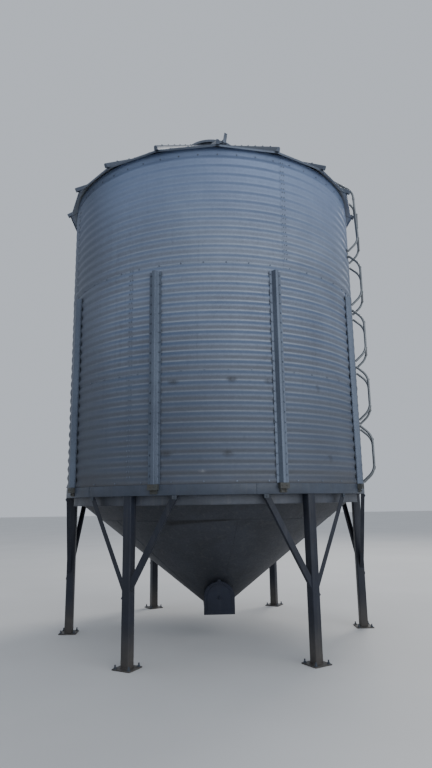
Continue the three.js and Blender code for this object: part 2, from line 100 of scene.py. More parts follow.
EAVE = RING_BOTTOM + 3.588
ROOF_SLOPE = math.radians(34)
PANELS = 18
PANEL_ANGLE = 360 / PANELS
HALF_COS = math.cos(math.radians(PANEL_ANGLE / 2))
SECTORS = 6
ROOF_TURN = 0.75
CORNER = 1.873
EAVE_REACH = CORNER * HALF_COS
ROOF_TOP = 0.006  # the panels' outer and inner faces, above roof_under()
ROOF_LOW = 0.003
RIB_INNER = 0.375
RIB_OUTER = 1.895
RIB_HEIGHT = 0.044
NECK_RADIUS = 0.340
NECK_TOP = 6.270
NECK_SHEET = 0.005
LID_RADIUS = 0.368
LID_FLAT = 0.060  # radius of its flat middle
LID_RISE = 0.082
LID_SKIRT = 0.038
LID_SHEET = 0.004

LADDER_ANGLE = 73.1
HALF = 0.190  # of the distance between the rails
RAIL = R + 0.132
SECTION = 0.700
SECTIONS = 4  # bent sections, below the top one
LADDER_BOTTOM = RING_BOTTOM + 0.102
LADDER_TOP = RING_BOTTOM + 3.610
BEND = 0.150
TUBE_BEND = 0.085
TUBE = 0.0135
RUNG = 0.014
LEAN = 0.022  # of the top section's rails towards the wall
LEAN_START = LADDER_BOTTOM + SECTIONS * SECTION + BEND
GRAB_REACH = 1.120  # where the grab rails land on the roof


# Shapes

def out(angle):
    """Direction away from the axis."""
    a = math.radians(angle)
    return Vector((math.sin(a), -math.cos(a), 0.0))


def place(angle, radius=0.0, z=0.0):
    """Local frame on the silo: +Y outward, +X to the left seen from outside."""
    n = out(angle)
    return Matrix((
        (n.y, n.x, 0, n.x * radius),
        (-n.x, n.y, 0, n.y * radius),
        (0, 0, 1, z),
        (0, 0, 0, 1),
    ))


def at(angle, radius, z):
    return out(angle) * radius + Vector((0, 0, z))


def shift(x, y, z):
    return Matrix.Translation((x, y, z))


def turned(degrees, axis):
    return Matrix.Rotation(math.radians(degrees), 4, axis)


UPRIGHT = turned(90, "X")


def curve(x, y, radius, angles):
    """Points on a circle, at angles in radians."""
    return [(x + radius * math.cos(a), y + radius * math.sin(a)) for a in angles]


def new_object(name, data):
    obj = bpy.data.objects.new(name, data)
    bpy.context.scene.collection.objects.link(obj)
    return obj


class Shape:
    """Vertices and faces of one piece; each face may have its own material number."""

    def __init__(self):
        self.verts = []
        self.faces = []
        self.mats = []

    def add(self, part, matrix=None, mat=0):
        verts, faces = part
        base = len(self.verts)
        if matrix is not None:
            m = np.array(matrix)
            verts = np.array(verts) @ m[:3, :3].T + m[:3, 3]
            if np.linalg.det(m[:3, :3]) < 0:
                faces = [tuple(reversed(f)) for f in faces]
        self.verts.extend(tuple(p) for p in verts)
        self.faces.extend(tuple(base + i for i in f) for f in faces)
        self.mats.extend([mat] * len(faces))

    def finish(self, name, materials, nodes, angle=38):
        mesh = bpy.data.meshes.new(name)
        mesh.from_pydata(self.verts, [], self.faces)
        mesh.validate()
        mesh.update()
        for m in materials if isinstance(materials, list) else [materials]:
            mesh.materials.append(m)
        mesh.polygons.foreach_set("material_index", self.mats)
        mesh.polygons.foreach_set("use_smooth", [True] * len(mesh.polygons))
        mesh.set_sharp_from_angle(angle=math.radians(angle))
        obj = new_object(name, mesh)
        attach(obj, "root")
        if nodes:
            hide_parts(*nodes)


def band(faces, a, b, count, flip=False):
    """Adds the faces between two closed rows of points, which start at a and b."""
    for i in range(count):
        j = (i + 1) % count
        faces.append((a + i, b + i, b + j, a + j) if flip else (a + i, a + j, b + j, b + i))


def block(w, d, h, centre, c=0.0015):
    """A box with chamfered edges."""
    c = min(c, w / 3, d / 3, h / 3)
    half = (w / 2, d / 2, h / 2)
    verts, faces, key = [], [], {}
    for signs in product((-1, 1), repeat=3):
        for axis in range(3):
            p = [sign * (size - c) for sign, size in zip(signs, half)]
            p[axis] = signs[axis] * half[axis]
            key[(*signs, axis)] = len(verts)
            verts.append(tuple(v + middle for v, middle in zip(p, centre)))

    def corner(axis, s, sa, sb):
        signs = [0, 0, 0]
        signs[axis], signs[(axis + 1) % 3], signs[(axis + 2) % 3] = s, sa, sb
        return signs

    for axis in range(3):
        for s in (-1, 1):
            around = ((-1, -1), (1, -1), (1, 1), (-1, 1))
            ring = [key[(*corner(axis, s, sa, sb), axis)] for sa, sb in around]
            faces.append(tuple(ring if s > 0 else reversed(ring)))
    # the chamfers along the edges, then those at the corners
    for axis in range(3):
        a, b = (axis + 1) % 3, (axis + 2) % 3
        for sa, sb in product((-1, 1), repeat=2):
            low, high = corner(axis, -1, sa, sb), corner(axis, 1, sa, sb)
            quad = [key[(*low, a)], key[(*high, a)], key[(*high, b)], key[(*low, b)]]
            faces.append(tuple(quad if sa * sb < 0 else reversed(quad)))
    for signs in product((-1, 1), repeat=3):
        tri = [key[(*signs, axis)] for axis in range(3)]
        faces.append(tuple(tri if math.prod(signs) > 0 else reversed(tri)))
    return verts, faces


def prism(outline, height, z=0.0, c=0.0):
    """An outline in X and Y carried up Z, with a small chamfer at both ends if c is given."""
    n = len(outline)
    following = outline[1:] + outline[:1]
    area = sum(x0 * y1 - x1 * y0 for (x0, y0), (x1, y1) in zip(outline, following))
    pts = outline if area > 0 else outline[::-1]
    rows = [(pts, z), (pts, z + height)]
    if c:
        cx, cy = sum(p[0] for p in pts) / n, sum(p[1] for p in pts) / n
        small = []
        for x, y in pts:
            d = math.hypot(x - cx, y - cy)
            small.append((x - (x - cx) / d * c, y - (y - cy) / d * c))
        rows = [(small, z), (pts, z + c), (pts, z + height - c), (small, z + height)]
    verts = [(*p, level) for row, level in rows for p in row]
    faces = [tuple(reversed(range(n)))]
    for r in range(len(rows) - 1):
        band(faces, r * n, (r + 1) * n, n)
    faces.append(tuple((len(rows) - 1) * n + i for i in range(n)))
    return verts, faces


def rounded(w, d, r, steps=4):
    """A rounded rectangle as an outline."""
    pts = []
    for k, (sx, sy) in enumerate(((1, 1), (-1, 1), (-1, -1), (1, -1))):
        for i in range(steps + 1):
            a = math.pi / 2 * (k + i / steps)
            pts.append((sx * (w / 2 - r) + r * math.cos(a), sy * (d / 2 - r) + r * math.sin(a)))
    return pts


def revolve(profile, steps):
    """A round piece from (radius, height) points. The profile's right side faces out."""
    verts, faces = [], []
    m = len(profile)
    for s in range(steps):
        n = out(360 * s / steps)
        verts.extend((n.x * r, n.y * r, z) for r, z in profile)
    for s in range(steps):
        band(faces, s * m, (s + 1) % steps * m, m, flip=True)
    return verts, faces


def tube(points, radius, sides=14, bend=0.0, steps=6, caps=True):
    """A round bar along points, with its corners rounded over the length bend."""
    pts = [Vector(p) for p in points]
    path = [pts[0]]
    for i in range(1, len(pts) - 1):
        if bend:
            a = pts[i] + (pts[i - 1] - pts[i]).normalized() * bend
            b = pts[i] + (pts[i + 1] - pts[i]).normalized() * bend
            for k in range(steps + 1):
                t = k / steps
                path.append(a * (1 - t) ** 2 + pts[i] * 2 * t * (1 - t) + b * t * t)
        else:
            path.append(pts[i])
    path.append(pts[-1])
    radii = radius if isinstance(radius, list) else [radius] * len(path)
    d = (path[1] - path[0]).normalized()
    side = d.orthogonal().normalized()
    verts, faces = [], []
    for i, p in enumerate(path):
        a = path[max(i - 1, 0)]
        b = path[min(i + 1, len(path) - 1)]
        d = (b - a).normalized()
        side = (side - d * side.dot(d)).normalized()
        up = d.cross(side)
        for k in range(sides):
            t = 2 * math.pi * k / sides
            verts.append(tuple(p + (side * math.cos(t) + up * math.sin(t)) * radii[i]))
    for i in range(len(path) - 1):
        band(faces, i * sides, (i + 1) * sides, sides)
    if caps:
        faces.append(tuple(reversed(range(sides))))
        faces.append(tuple((len(path) - 1) * sides + k for k in range(sides)))
    return verts, faces


def bolt(head, height, washer):
    """A hex head on a washer. It stands on X and Y = 0 and rises along +Y."""
    verts, faces = [], []

    def ring(radius, y, count):
        base = len(verts)
        for k in range(count):
            t = 2 * math.pi * k / count
            verts.append((radius * math.cos(t), y, radius * math.sin(t)))
        return base

    n = 10
    a = ring(washer, -0.001, n)
    b = ring(washer * 0.97, 0.0022, n)
    band(faces, a, b, n, flip=True)
    faces.append(tuple(reversed(range(b, b + n))))
    c = ring(head, 0.0022, 6)
    d = ring(head, 0.0022 + height * 0.8, 6)
    e = ring(head * 0.8, 0.0022 + height, 6)
    band(faces, c, d, 6, flip=True)
    band(faces, d, e, 6, flip=True)
    faces.append(tuple(reversed(range(e, e + 6))))
    return verts, faces


def bead(points, radius):
    """A weld bead along points."""
    return tube(points, [radius * (0.85 + 0.3 * rng.random()) for _ in points], sides=6)


def bolt_row(shape, head, count, first, radius, z):
    """Bolt heads all round, the first one at the angle first."""
    for k in range(count):
        shape.add(head, place(first + 360 / count * k, radius, z))


# Finishes

class Nodes:
    """Builds one procedural material."""

    def __init__(self, name):
        self.mat = bpy.data.materials.new(name)
        self.mat.use_nodes = True
        self.tree = self.mat.node_tree
        self.tree.nodes.clear()
        self.shader = self.node("BsdfPrincipled")
        self.link(self.shader.outputs[0], self.node("OutputMaterial").inputs[0])
        self.pos = self.node("TexCoord").outputs["Object"]
        split = self.node("SeparateXYZ")
        self.link(self.pos, split.inputs[0])
        self.x, self.y, self.z = split.outputs
        self._arc = None

    def node(self, kind, **values):
        n = self.tree.nodes.new("ShaderNode" + kind)
        for key, value in values.items():
            n.inputs[key].default_value = value
        return n

    def link(self, a, b):
        self.tree.links.new(a, b)

    def feed(self, value, socket):
        """Gives a socket a number, a colour or another node's output."""
        if isinstance(value, (int, float)):
            socket.default_value = value
        elif isinstance(value, tuple):
            socket.default_value = (*value, 1.0)
        else:
            self.link(value, socket)

    def math(self, op, a, b=0.0, clamp=False):
        n = self.node("Math")
        n.operation = op
        n.use_clamp = clamp
        self.feed(a, n.inputs[0])
        self.feed(b, n.inputs[1])
        return n.outputs[0]

    def times(self, a, b, clamp=False):
        return self.math("MULTIPLY", a, b, clamp)

    def hypot(self, a, b):
        return self.math("SQRT", self.math("ADD", self.times(a, a), self.times(b, b)))

    @property
    def arc(self):
        """Distance round the wall from the front, in metres."""
        if self._arc is None:
            back = self.times(self.y, -1.0)
            self._arc = self.times(self.math("ARCTAN2", self.x, back), R)
        return self._arc

    def stretched(self, across, up):
        """The position, scaled across and up, for streaks and bands."""
        n = self.node("CombineXYZ")
        for i, (value, scale) in enumerate(((self.x, across), (self.y, across), (self.z, up))):
            self.link(self.times(value, scale), n.inputs[i])
        return n.outputs[0]

    def noise(self, scale, detail, rough, vector=None, distortion=0.0):
        n = self.node("TexNoise", Scale=scale, Detail=detail, Roughness=rough, Distortion=distortion)
        self.link(vector if vector is not None else self.pos, n.inputs["Vector"])
        return n.outputs[0]

    def cells(self, scale):
        """A random grey for each small cell."""
        n = self.node("TexVoronoi", Scale=scale)
        self.link(self.pos, n.inputs["Vector"])
        channels = self.node("SeparateColor")
        self.link(n.outputs["Color"], channels.inputs[0])
        return channels.outputs[0]

    def fit(self, value, low, high, to_low=0.0, to_high=1.0, smooth=False):
        n = self.node("MapRange")
        n.interpolation_type = "SMOOTHSTEP" if smooth else "LINEAR"
        self.feed(value, n.inputs[0])
        for i, v in enumerate((low, high, to_low, to_high), start=1):
            n.inputs[i].default_value = v
        return n.outputs[0]

    def mix(self, fac, a, b):
        n = self.node("Mix")
        n.data_type = "RGBA"
        self.feed(fac, n.inputs[0])
        self.feed(a, n.inputs[6])
        self.feed(b, n.inputs[7])
        return n.outputs[2]

    def tint(self, color, mask, amount, other):
        """Another colour laid over this one where the mask is 1, by this amount."""
        return self.mix(self.times(mask, amount), color, other)

    def bump(self, height, strength, distance, normal=None):
        n = self.node("Bump", Strength=strength, Distance=distance)
        self.link(height, n.inputs["Height"])
        if normal is not None:
            self.link(normal, n.inputs["Normal"])
        return n.outputs[0]

    def spot(self, angle, z, across, up, drip=0.0):
        """1 inside a soft oval on the wall, 0 outside. drip carries it down the wall."""
        dx = self.math("DIVIDE", self.math("SUBTRACT", self.arc, math.radians(angle) * R), across)
        dz = self.math("SUBTRACT", self.z, z)
        if drip:
            below = self.math("LESS_THAN", dz, 0.0)
            scale = self.math("ADD", 1 / up, self.times(below, 1 / drip - 1 / up))
            dz = self.times(dz, scale)
        else:
            dz = self.math("DIVIDE", dz, up)
        return self.fit(self.hypot(dx, dz), 0.2, 1.0, 1.0, 0.0, smooth=True)

    def done(self, color, rough, metallic, normal=None):
        self.feed(color, self.shader.inputs["Base Color"])
        self.feed(rough, self.shader.inputs["Roughness"])
        self.feed(metallic, self.shader.inputs["Metallic"])
        if normal is not None:
            self.link(normal, self.shader.inputs["Normal"])
        return self.mat


# dark oval stains on the wall: angle, height, half width, half height, run-down below, strength
STAINS = [
    (-14.4, RING_BOTTOM + 1.085, 0.075, 0.034, 0.045, 0.70),
    (4.1, RING_BOTTOM + 1.100, 0.075, 0.036, 0.050, 0.70),
    (16.0, RING_BOTTOM + 1.088, 0.070, 0.032, 0.045, 0.60),
    (35.2, RING_BOTTOM + 1.076, 0.045, 0.035, 0.080, 0.45),
    (-16.6, RING_BOTTOM + 0.390, 0.080, 0.036, 0.050, 0.65),
    (2.4, RING_BOTTOM + 0.385, 0.080, 0.038, 0.055, 0.70),
    (39.8, RING_BOTTOM + 0.364, 0.050, 0.035, 0.080, 0.45),
    (-118, RING_BOTTOM + 0.90, 0.070, 0.036, 0.060, 0.60),
    (150, RING_BOTTOM + 1.35, 0.070, 0.036, 0.060, 0.60),
]
DUST = (0.20, 0.185, 0.16)


def scaled(color, factor):
    return tuple(min(1.0, c * factor) for c in color)


def galvanized(name, light, dark, rough, metallic=0.7, streaks=0.5, wall=False):
    """Weathered zinc: spangle, cloudy oxide and run-down streaks."""
    n = Nodes(name)
    cloud = n.noise(1.3, 5, 0.6, n.stretched(1.0, 0.8) if wall else n.pos, 0.4)
    fine = n.noise(38, 6, 0.62)
    color = n.mix(n.fit(cloud, 0.33, 0.68), dark, light)
    color = n.tint(color, n.fit(n.cells(95), 0.2, 0.9), 0.16, scaled(light, 1.35))
    color = n.mix(n.fit(fine, 0.55, 0.8, 0.0, 0.22), color, scaled(dark, 0.62))
    run = n.noise(1.0, 7, 0.7, n.stretched(26.0, 0.9 if wall else 1.0))
    broad = n.noise(1.0, 5, 0.6, n.stretched(7.0, 0.45) if wall else n.stretched(9.0, 1.0))
    mask = n.times(n.fit(run, 0.5, 0.78), n.fit(broad, 0.42, 0.66), clamp=True)
    color = n.tint(color, mask, streaks, scaled(dark, 0.5))
    pale = n.times(n.fit(run, 0.42, 0.2), n.fit(broad, 0.5, 0.3), clamp=True)
    color = n.tint(color, pale, streaks * 0.45, scaled(light, 1.4))
    blend = n.math("ADD", n.times(cloud, 0.6), n.times(fine, 0.4))
    roughness = n.fit(blend, 0.3, 0.7, rough - 0.08, rough + 0.14)
    if wall:
        # the wall's bands of painted reflection, its dust and its stains
        color, under = corrugated(n, color, cloud, fine)
        metallic = n.fit(under, 0.0, 0.8, metallic, metallic * 0.5)
    normal = n.bump(fine, 0.12, 0.0012)
    normal = n.bump(n.noise(5.0, 3, 0.5), 0.35, 0.006, normal)
    return n.done(color, roughness, metallic, normal)


def corrugated(n, color, cloud, fine):
    """Painted reflections in the wall's bands, with dust and stains over its zinc. Gives the colour and the
    painted ground reflection's mask.
    """
    # the wave gets painted reflections: blue sky where it faces up, brown ground where it faces down, and a
    # pale painted highlight of the horizon in its valleys
    phase = n.times(n.math("SUBTRACT", n.z, CREST), 2 * math.pi / PITCH)
    swing, height = n.math("SINE", phase), n.math("COSINE", phase)
    # painted shade on the left flank, whose bands are faint as well
    left_shade = n.times(n.fit(n.arc, -0.95, -1.75, smooth=True), n.fit(n.arc, -4.6, -3.0, smooth=True))
    faint = n.math("SUBTRACT", 1.0, n.times(left_shade, 0.7))
    low = n.times(n.fit(n.z, EAVE, RING_TOP + 1.3, 0.22, 1.0), faint)
    patch = n.fit(n.noise(2.2, 4, 0.6, n.stretched(0.7, 1.0), 0.3), 0.30, 0.62, 0.55, 1.0)
    glint_patches = n.fit(n.noise(1.0, 5, 0.65, n.stretched(3.5, 14.0), 0.6), 0.34, 0.62, 0.35, 1.0)
    # painted sky reflection, painted ground reflection and painted horizon highlight
    over = n.times(n.fit(swing, 0.1, 0.95), low)
    under = n.times(n.times(n.fit(swing, -0.1, -0.9), low), patch, clamp=True)
    valley_glint = n.times(n.times(n.fit(height, -0.86, -0.985), low), glint_patches, clamp=True)
    color = n.tint(color, over, 0.60, (0.062, 0.108, 0.208))
    color = n.tint(color, under, 0.50, (0.092, 0.080, 0.072))
    color = n.tint(color, valley_glint, 0.62, (0.36, 0.40, 0.46))
    # the upper wall is bluer, the lower one darker
    upper = n.fit(n.z, RING_TOP + 2.3, EAVE, 0.0, 0.50, smooth=True)
    color = n.mix(upper, color, (0.205, 0.285, 0.470))
    lower = n.fit(n.z, RING_TOP + 2.1, RING_TOP + 0.2, 0.0, 0.66, smooth=True)
    color = n.mix(lower, color, (0.062, 0.071, 0.090))
    # the painted shade on the left flank
    color = n.tint(color, left_shade, 0.56, (0.066, 0.076, 0.096))
    for angle, z, across, up, drip, amount in STAINS:
        mask = n.times(n.spot(angle, z, across, up, drip), n.fit(fine, 0.3, 0.6, 0.5, 1.0))
        color = n.tint(color, mask, amount, (0.042, 0.044, 0.050))
    smear = n.times(n.spot(-5.5, RING_BOTTOM + 0.222, 0.050, 0.022), n.fit(fine, 0.35, 0.6))
    color = n.tint(color, smear, 0.32, (0.50, 0.52, 0.55))
    foot = n.fit(n.z, RING_TOP + 0.25, RING_TOP, 0.0, 0.55, smooth=True)
    color = n.tint(color, foot, n.fit(cloud, 0.3, 0.7), (0.075, 0.068, 0.062))
    return color, under


def painted(name, base, dusty, rust, rough, bottom=None, gloss=0.5, lap_shadow=False):
    """Shop paint on steel: faded patches, dust in runs, and chips with rust."""
    n = Nodes(name)
    cloud = n.noise(3.0, 5, 0.6, None, 0.5)
    fine = n.noise(55, 6, 0.6)
    run = n.noise(1.0, 6, 0.65, n.stretched(22.0, 1.4))
    color = n.mix(n.fit(cloud, 0.35, 0.7), scaled(base, 0.78), scaled(base, 1.22))
    color = n.mix(n.fit(run, 0.52, 0.8, 0.0, dusty), color, DUST)
    color = n.mix(n.fit(fine, 0.58, 0.85, 0.0, 0.3), color, scaled(base, 0.55))
    rusty = n.fit(n.noise(2.4, 3, 0.5), 0.5, 0.62)
    chips = n.times(n.fit(n.noise(21, 7, 0.72), 0.62, 0.7), rusty, clamp=True)
    orange = n.mix(n.noise(70, 4, 0.6), (0.075, 0.030, 0.014), (0.20, 0.085, 0.035))
    color = n.mix(n.times(chips, rust, clamp=True), color, orange)
    if bottom:
        # mud splashed up from the ground
        splash = n.fit(n.z, bottom, 0.0, smooth=True)
        splash = n.times(splash, n.fit(cloud, 0.25, 0.7, 0.35, 1.0), clamp=True)
        color = n.tint(color, splash, 0.75, (0.115, 0.10, 0.08))
    if lap_shadow:
        # painted shadow along the sheet lap on the cone's front left, thicker at its left end
        line = n.fit(n.arc, -0.70, 0.15, 1.358, 1.400)
        half = n.fit(n.arc, -0.72, 0.16, 0.050, 0.014)
        away = n.math("ABSOLUTE", n.math("SUBTRACT", n.hypot(n.x, n.y), line))
        inside = n.fit(n.math("DIVIDE", away, half), 0.3, 1.0, 1.0, 0.0, smooth=True)
        ends = n.times(n.fit(n.arc, -0.80, -0.66), n.fit(n.arc, 0.30, 0.05))
        color = n.tint(color, n.times(inside, ends), 0.88, (0.010, 0.010, 0.012))
    worn = n.math("ADD", fine, n.times(chips, 0.5))
    roughness = n.fit(worn, 0.3, 0.9, rough - 0.06, rough + 0.25)
    normal = n.bump(fine, 0.15, 0.0008)
    normal = n.bump(n.noise(9.0, 3, 0.5), 0.2, 0.002, normal)
    n.shader.inputs["Specular IOR Level"].default_value = gloss
    return n.done(color, roughness, 0.0, normal)


def bracket(name, base):
    """Foot brackets: dull olive-grey steel, browned in patches."""
    n = Nodes(name)
    cloud = n.noise(14, 6, 0.65, None, 0.6)
    fine = n.noise(90, 5, 0.6)
    brown = n.mix(fine, (0.045, 0.030, 0.020), (0.110, 0.070, 0.042))
    color = n.mix(n.fit(cloud, 0.44, 0.66, 0.0, 0.40), base, brown)
    color = n.mix(n.fit(n.noise(30, 4, 0.6), 0.55, 0.75, 0.0, 0.5), color, (0.030, 0.027, 0.024))
    rough = n.fit(cloud, 0.3, 0.7, 0.5, 0.82)
    return n.done(color, rough, 0.25, n.bump(fine, 0.4, 0.0010))


WALL = galvanized("wall_zinc", (0.243, 0.288, 0.376), (0.157, 0.188, 0.254), 0.58, 0.50, wall=True)
STIFF = galvanized("stiffener_zinc", (0.128, 0.156, 0.205), (0.086, 0.105, 0.142), 0.46, 0.62, 0.55)
# the roof's zinc is darkened as painted shade of the backlit roof
ROOF = galvanized("roof_zinc", (0.125, 0.148, 0.190), (0.080, 0.096, 0.128), 0.42, 0.72, 0.35)
# a much paler copy of the roof's zinc for the panels' undersides: painted light
ROOF_UNDERSIDE_LIT = galvanized("roof_underside_lit_zinc", (0.50, 0.54, 0.60), (0.40, 0.44, 0.50), 0.6, 0.15, 0.2)
BOLT = galvanized("bolt_zinc", (0.175, 0.205, 0.260), (0.120, 0.142, 0.182), 0.45, streaks=0.0)
CAP = galvanized("cap_zinc", (0.170, 0.192, 0.236), (0.100, 0.118, 0.150), 0.46)
LADDER = galvanized("ladder_zinc", (0.235, 0.250, 0.262), (0.130, 0.142, 0.152), 0.46, streaks=0.2)
RING = painted("ring_paint", (0.043, 0.056, 0.082), 0.14, 0.35, 0.46)
SKIRT = painted("skirt_paint", (0.066, 0.074, 0.094), 0.22, 0.30, 0.5)
# the cone carries a painted shadow along its sheet lap
CONE = painted("cone_paint", (0.033, 0.037, 0.048), 0.20, 0.20, 0.55, lap_shadow=True)
BOOT = painted("boot_paint", (0.009, 0.013, 0.027), 0.07, 0.25, 0.5, gloss=0.33)
COVER = painted("cover_paint", (0.009, 0.013, 0.027), 0.07, 0.25, 0.48, gloss=0.33)
# the legs' dark paint is deepened further: partly the paint's own tone, partly painted shade of the backlit
# legs
LEG = painted("leg_paint", (0.011, 0.015, 0.027), 0.13, 0.35, 0.48, bottom=0.45, gloss=0.44)
CLIP = painted("clip_paint", (0.046, 0.058, 0.078), 0.25, 0.30, 0.5)
FOOT = bracket("foot_bracket", (0.062, 0.068, 0.066))


# Wall

def wave(z):
    """Radius of the wall's outer face."""
    return R - DEPTH / 2 + DEPTH / 2 * math.cos(2 * math.pi * (z - CREST) / PITCH)


def ring_heights():
    """The wall's foot, the joints between its rings of sheets, and its top."""
    joints = [RING_TOP + GAP]
    for ring in range(1, SHEET_RINGS):
        joints.append(FIRST_VALLEY + (ring * WAVES_PER_RING - 0.5) * PITCH)
    joints.append(roof_under(R) - 0.002)
    return joints


def wall_sheet(ring, sheet):
    """A corrugated sheet. It laps outside over the ring below and over its left neighbour."""
    joints = ring_heights()
    low = joints[ring] - (PITCH * 0.52 if ring else 0.0)
    high = joints[ring + 1]
    sweep = 360 / SHEETS_PER_RING
    start = SEAM_ANGLE[ring] + sheet * sweep
    columns = [start - SEAM_LAP, start - SEAM_LAP + 0.02, start - 0.4, start]
    columns += [start + sweep * k / 48 for k in range(1, 49)]
    count = round((high - low) / PITCH * ROWS_PER_WAVE)
    rows = [low + (high - low) * i / count for i in range(count + 1)]
    verts, faces = [], []
    for side in (0, 1):
        for a in columns:
            n = out(a)
            for z in rows:
                r = wave(z) - side * SHEET
                if ring and z < joints[ring] + 0.012:
                    r += SHEET + 0.0009
                if a < start + 0.5:
                    r += (SHEET + 0.0007) * min(1.0, (start + 0.5 - a) / 0.9)
                verts.append((n.x * r, n.y * r, z))
    m = len(rows)
    grid = len(columns) * m
    for c in range(len(columns) - 1):
        for i in range(m - 1):
            a, b = c * m + i, (c + 1) * m + i
            faces.append((a, b, b + 1, a + 1))
            faces.append((grid + a, grid + a + 1, grid + b + 1, grid + b))
    # the lower and upper edges, then the two ends
    for c in range(len(columns) - 1):
        a, b = c * m, (c + 1) * m
        faces.append((a, grid + a, grid + b, b))
        a, b = a + m - 1, b + m - 1
        faces.append((a, b, grid + b, grid + a))
    for a in range(m - 1):
        faces.append((a, a + 1, grid + a + 1, grid + a))
        b = (len(columns) - 1) * m + a
        faces.append((b, grid + b, grid + b + 1, b + 1))
    shape = Shape()
    shape.add((verts, faces))
    name = f"wall_sheet_{ring + 1}_{sheet + 1}"
    shape.finish(name + "_skin", WALL, [name], angle=60)


def wall_bolts():
    joints = ring_heights()
    head = bolt(0.0062, 0.0034, 0.0088)
    last = SHEET_RINGS - 1
    for ring in range(SHEET_RINGS):
        shape = Shape()
        first = ring * WAVES_PER_RING
        count = WAVES_PER_RING + int(ring == last)
        for sheet in range(SHEETS_PER_RING):
            seam = SEAM_ANGLE[ring] + sheet * 360 / SHEETS_PER_RING
            for k in range(first, first + count):
                for off in (-1.35, -0.45):
                    for dz in (0.0, PITCH / 2):
                        z = FIRST_VALLEY + PITCH * k + dz
                        if z <= joints[ring + 1] - 0.02:
                            shape.add(head, place(seam + off, wave(z) + 0.0022, z))
        if ring:
            z = joints[ring] - PITCH / 2 + 0.004
            bolt_row(shape, head, 48, 3.1, wave(z) + SHEET + 0.001, z)
        else:
            z = RING_TOP + 0.022
            bolt_row(shape, head, 36, 5, wave(z) + 0.001, z)
        if ring == last:
            z = FIRST_VALLEY + PITCH * SHEET_RINGS * WAVES_PER_RING + 0.004
            bolt_row(shape, head, 54, ROOF_TURN, wave(z) + 0.001, z)
        shape.finish(f"wall_bolts_{ring + 1}", BOLT, ())


# Stiffeners

def hat_outline():
    """The rolled hat with rounded bends, outside and then inside."""
    outer = [(0.064, 0.003), (0.0400, 0.003), (0.0382, 0.0038), (0.0368, 0.0055)]
    outer += [(0.0188, 0.0455), (0.0172, 0.0485), (0.0145, 0.050)]
    inner = [(0.064, 0.0), (0.0384, 0.0), (0.0362, 0.0010), (0.0345, 0.0030)]
    inner += [(0.0165, 0.0440), (0.0150, 0.0462), (0.0125, 0.047)]
    left = [(-x, y) for x, y in reversed(outer)]
    return outer + left + [(-x, y) for x, y in inner] + inner[::-1]


def stiffener(index, angle):
    shape = Shape()
    bottom = RING_TOP + STIFFENER_RISE
    base = place(angle, R + GAP, bottom)
    shape.add(prism(hat_outline(), STIFFENER_HEIGHT), base)
    head = bolt(0.0070, 0.0050, 0.0105)
    for k in range(21):
        z = FIRST_VALLEY + PITCH * k - bottom
        for x in (-0.0515, 0.0515):
            shape.add(head, base @ shift(x, 0.003, z + rng.uniform(-0.001, 0.001)))
    # the foot bracket on the ring beam: a folded box, open below, over a narrower tongue
    for part in (
        block(0.100, 0.004, 0.055, (0, 0.0458, -0.0270)),
        block(0.100, 0.046, 0.004, (0, 0.0240, -0.0012)),
        block(0.100, 0.004, 0.055, (0, 0.0020, -0.0270)),
        block(0.004, 0.046, 0.055, (-0.048, 0.0240, -0.0270)),
        block(0.004, 0.046, 0.055, (0.048, 0.0240, -0.0270)),
        block(0.074, 0.016, 0.062, (0, 0.0082, -0.0605)),
    ):
        shape.add(part, base, mat=1)
    for x in (-0.026, 0.026):
        shape.add(bolt(0.0075, 0.0025, 0.0115), base @ shift(x, 0.0472, -0.024), mat=1)
        shape.add(bolt(0.0080, 0.0065, 0.012), base @ shift(x, 0.0160, -0.074), mat=1)
    shape.finish(f"stiffener_{index}_hat", [STIFF, FOOT], [f"stiffener_{index}"])


# Ring beam and skirt

def ring_beam():
    shape = Shape()
    b, h, t, c = RING_BOTTOM, RING_TOP, STEEL, 0.0035
    inner = R - RING_WIDTH
    shape.add(revolve([
        (inner, b), (R - c, b), (R - c * 0.3, b + c * 0.3), (R, b + c),
        (R, h - c), (R - c * 0.3, h - c * 0.3), (R - c, h), (inner, h),
        (inner, h - t), (R - t, h - t), (R - t, b + t), (inner, b + t),
    ], 240))
    # upright welds
    for radius, angles in ((0.0035, (-48, 72, 192)), (0.003, (11, 100, 190, 280))):
        for a in angles:
            line = [at(a, R + 0.0002, b + 0.003 + 0.0095 * k) for k in range(11)]
            shape.add(bead(line, radius))
    shape.finish("ring_beam_channel", RING, ["ring_beam"])


def skirt():
    shape = Shape()
    top, low = RING_BOTTOM - GAP, RING_BOTTOM - SKIRT_DROP
    r, t = SKIRT_RADIUS, STEEL
    lip = r - t - SKIRT_LIP
    shape.add(revolve([
        (lip, low), (r - 0.002, low), (r, low + 0.002), (r, top),
        (r - t, top), (r - t, low + t), (lip, low + t),
    ], 240))
    # a rolled bead along the lower edge
    angles = [2 * math.pi * k / 8 - math.pi / 2 for k in range(8)]
    shape.add(revolve(curve(r - 0.001, low + 0.005, 0.005, angles), 240))
    shape.finish("hopper_skirt_band", SKIRT, ["hopper_skirt"])


# Hopper cone and boot

BOOT_TURN = turned(1, "Z")
# local Z runs to the boot's front
BOOT_FRAME = BOOT_TURN @ shift(0, 0, BOOT_Z) @ UPRIGHT


def cone_height(r):
    return RING_BOTTOM - CONE_DROP - (CONE_TOP - r) * math.tan(CONE_SLOPE)


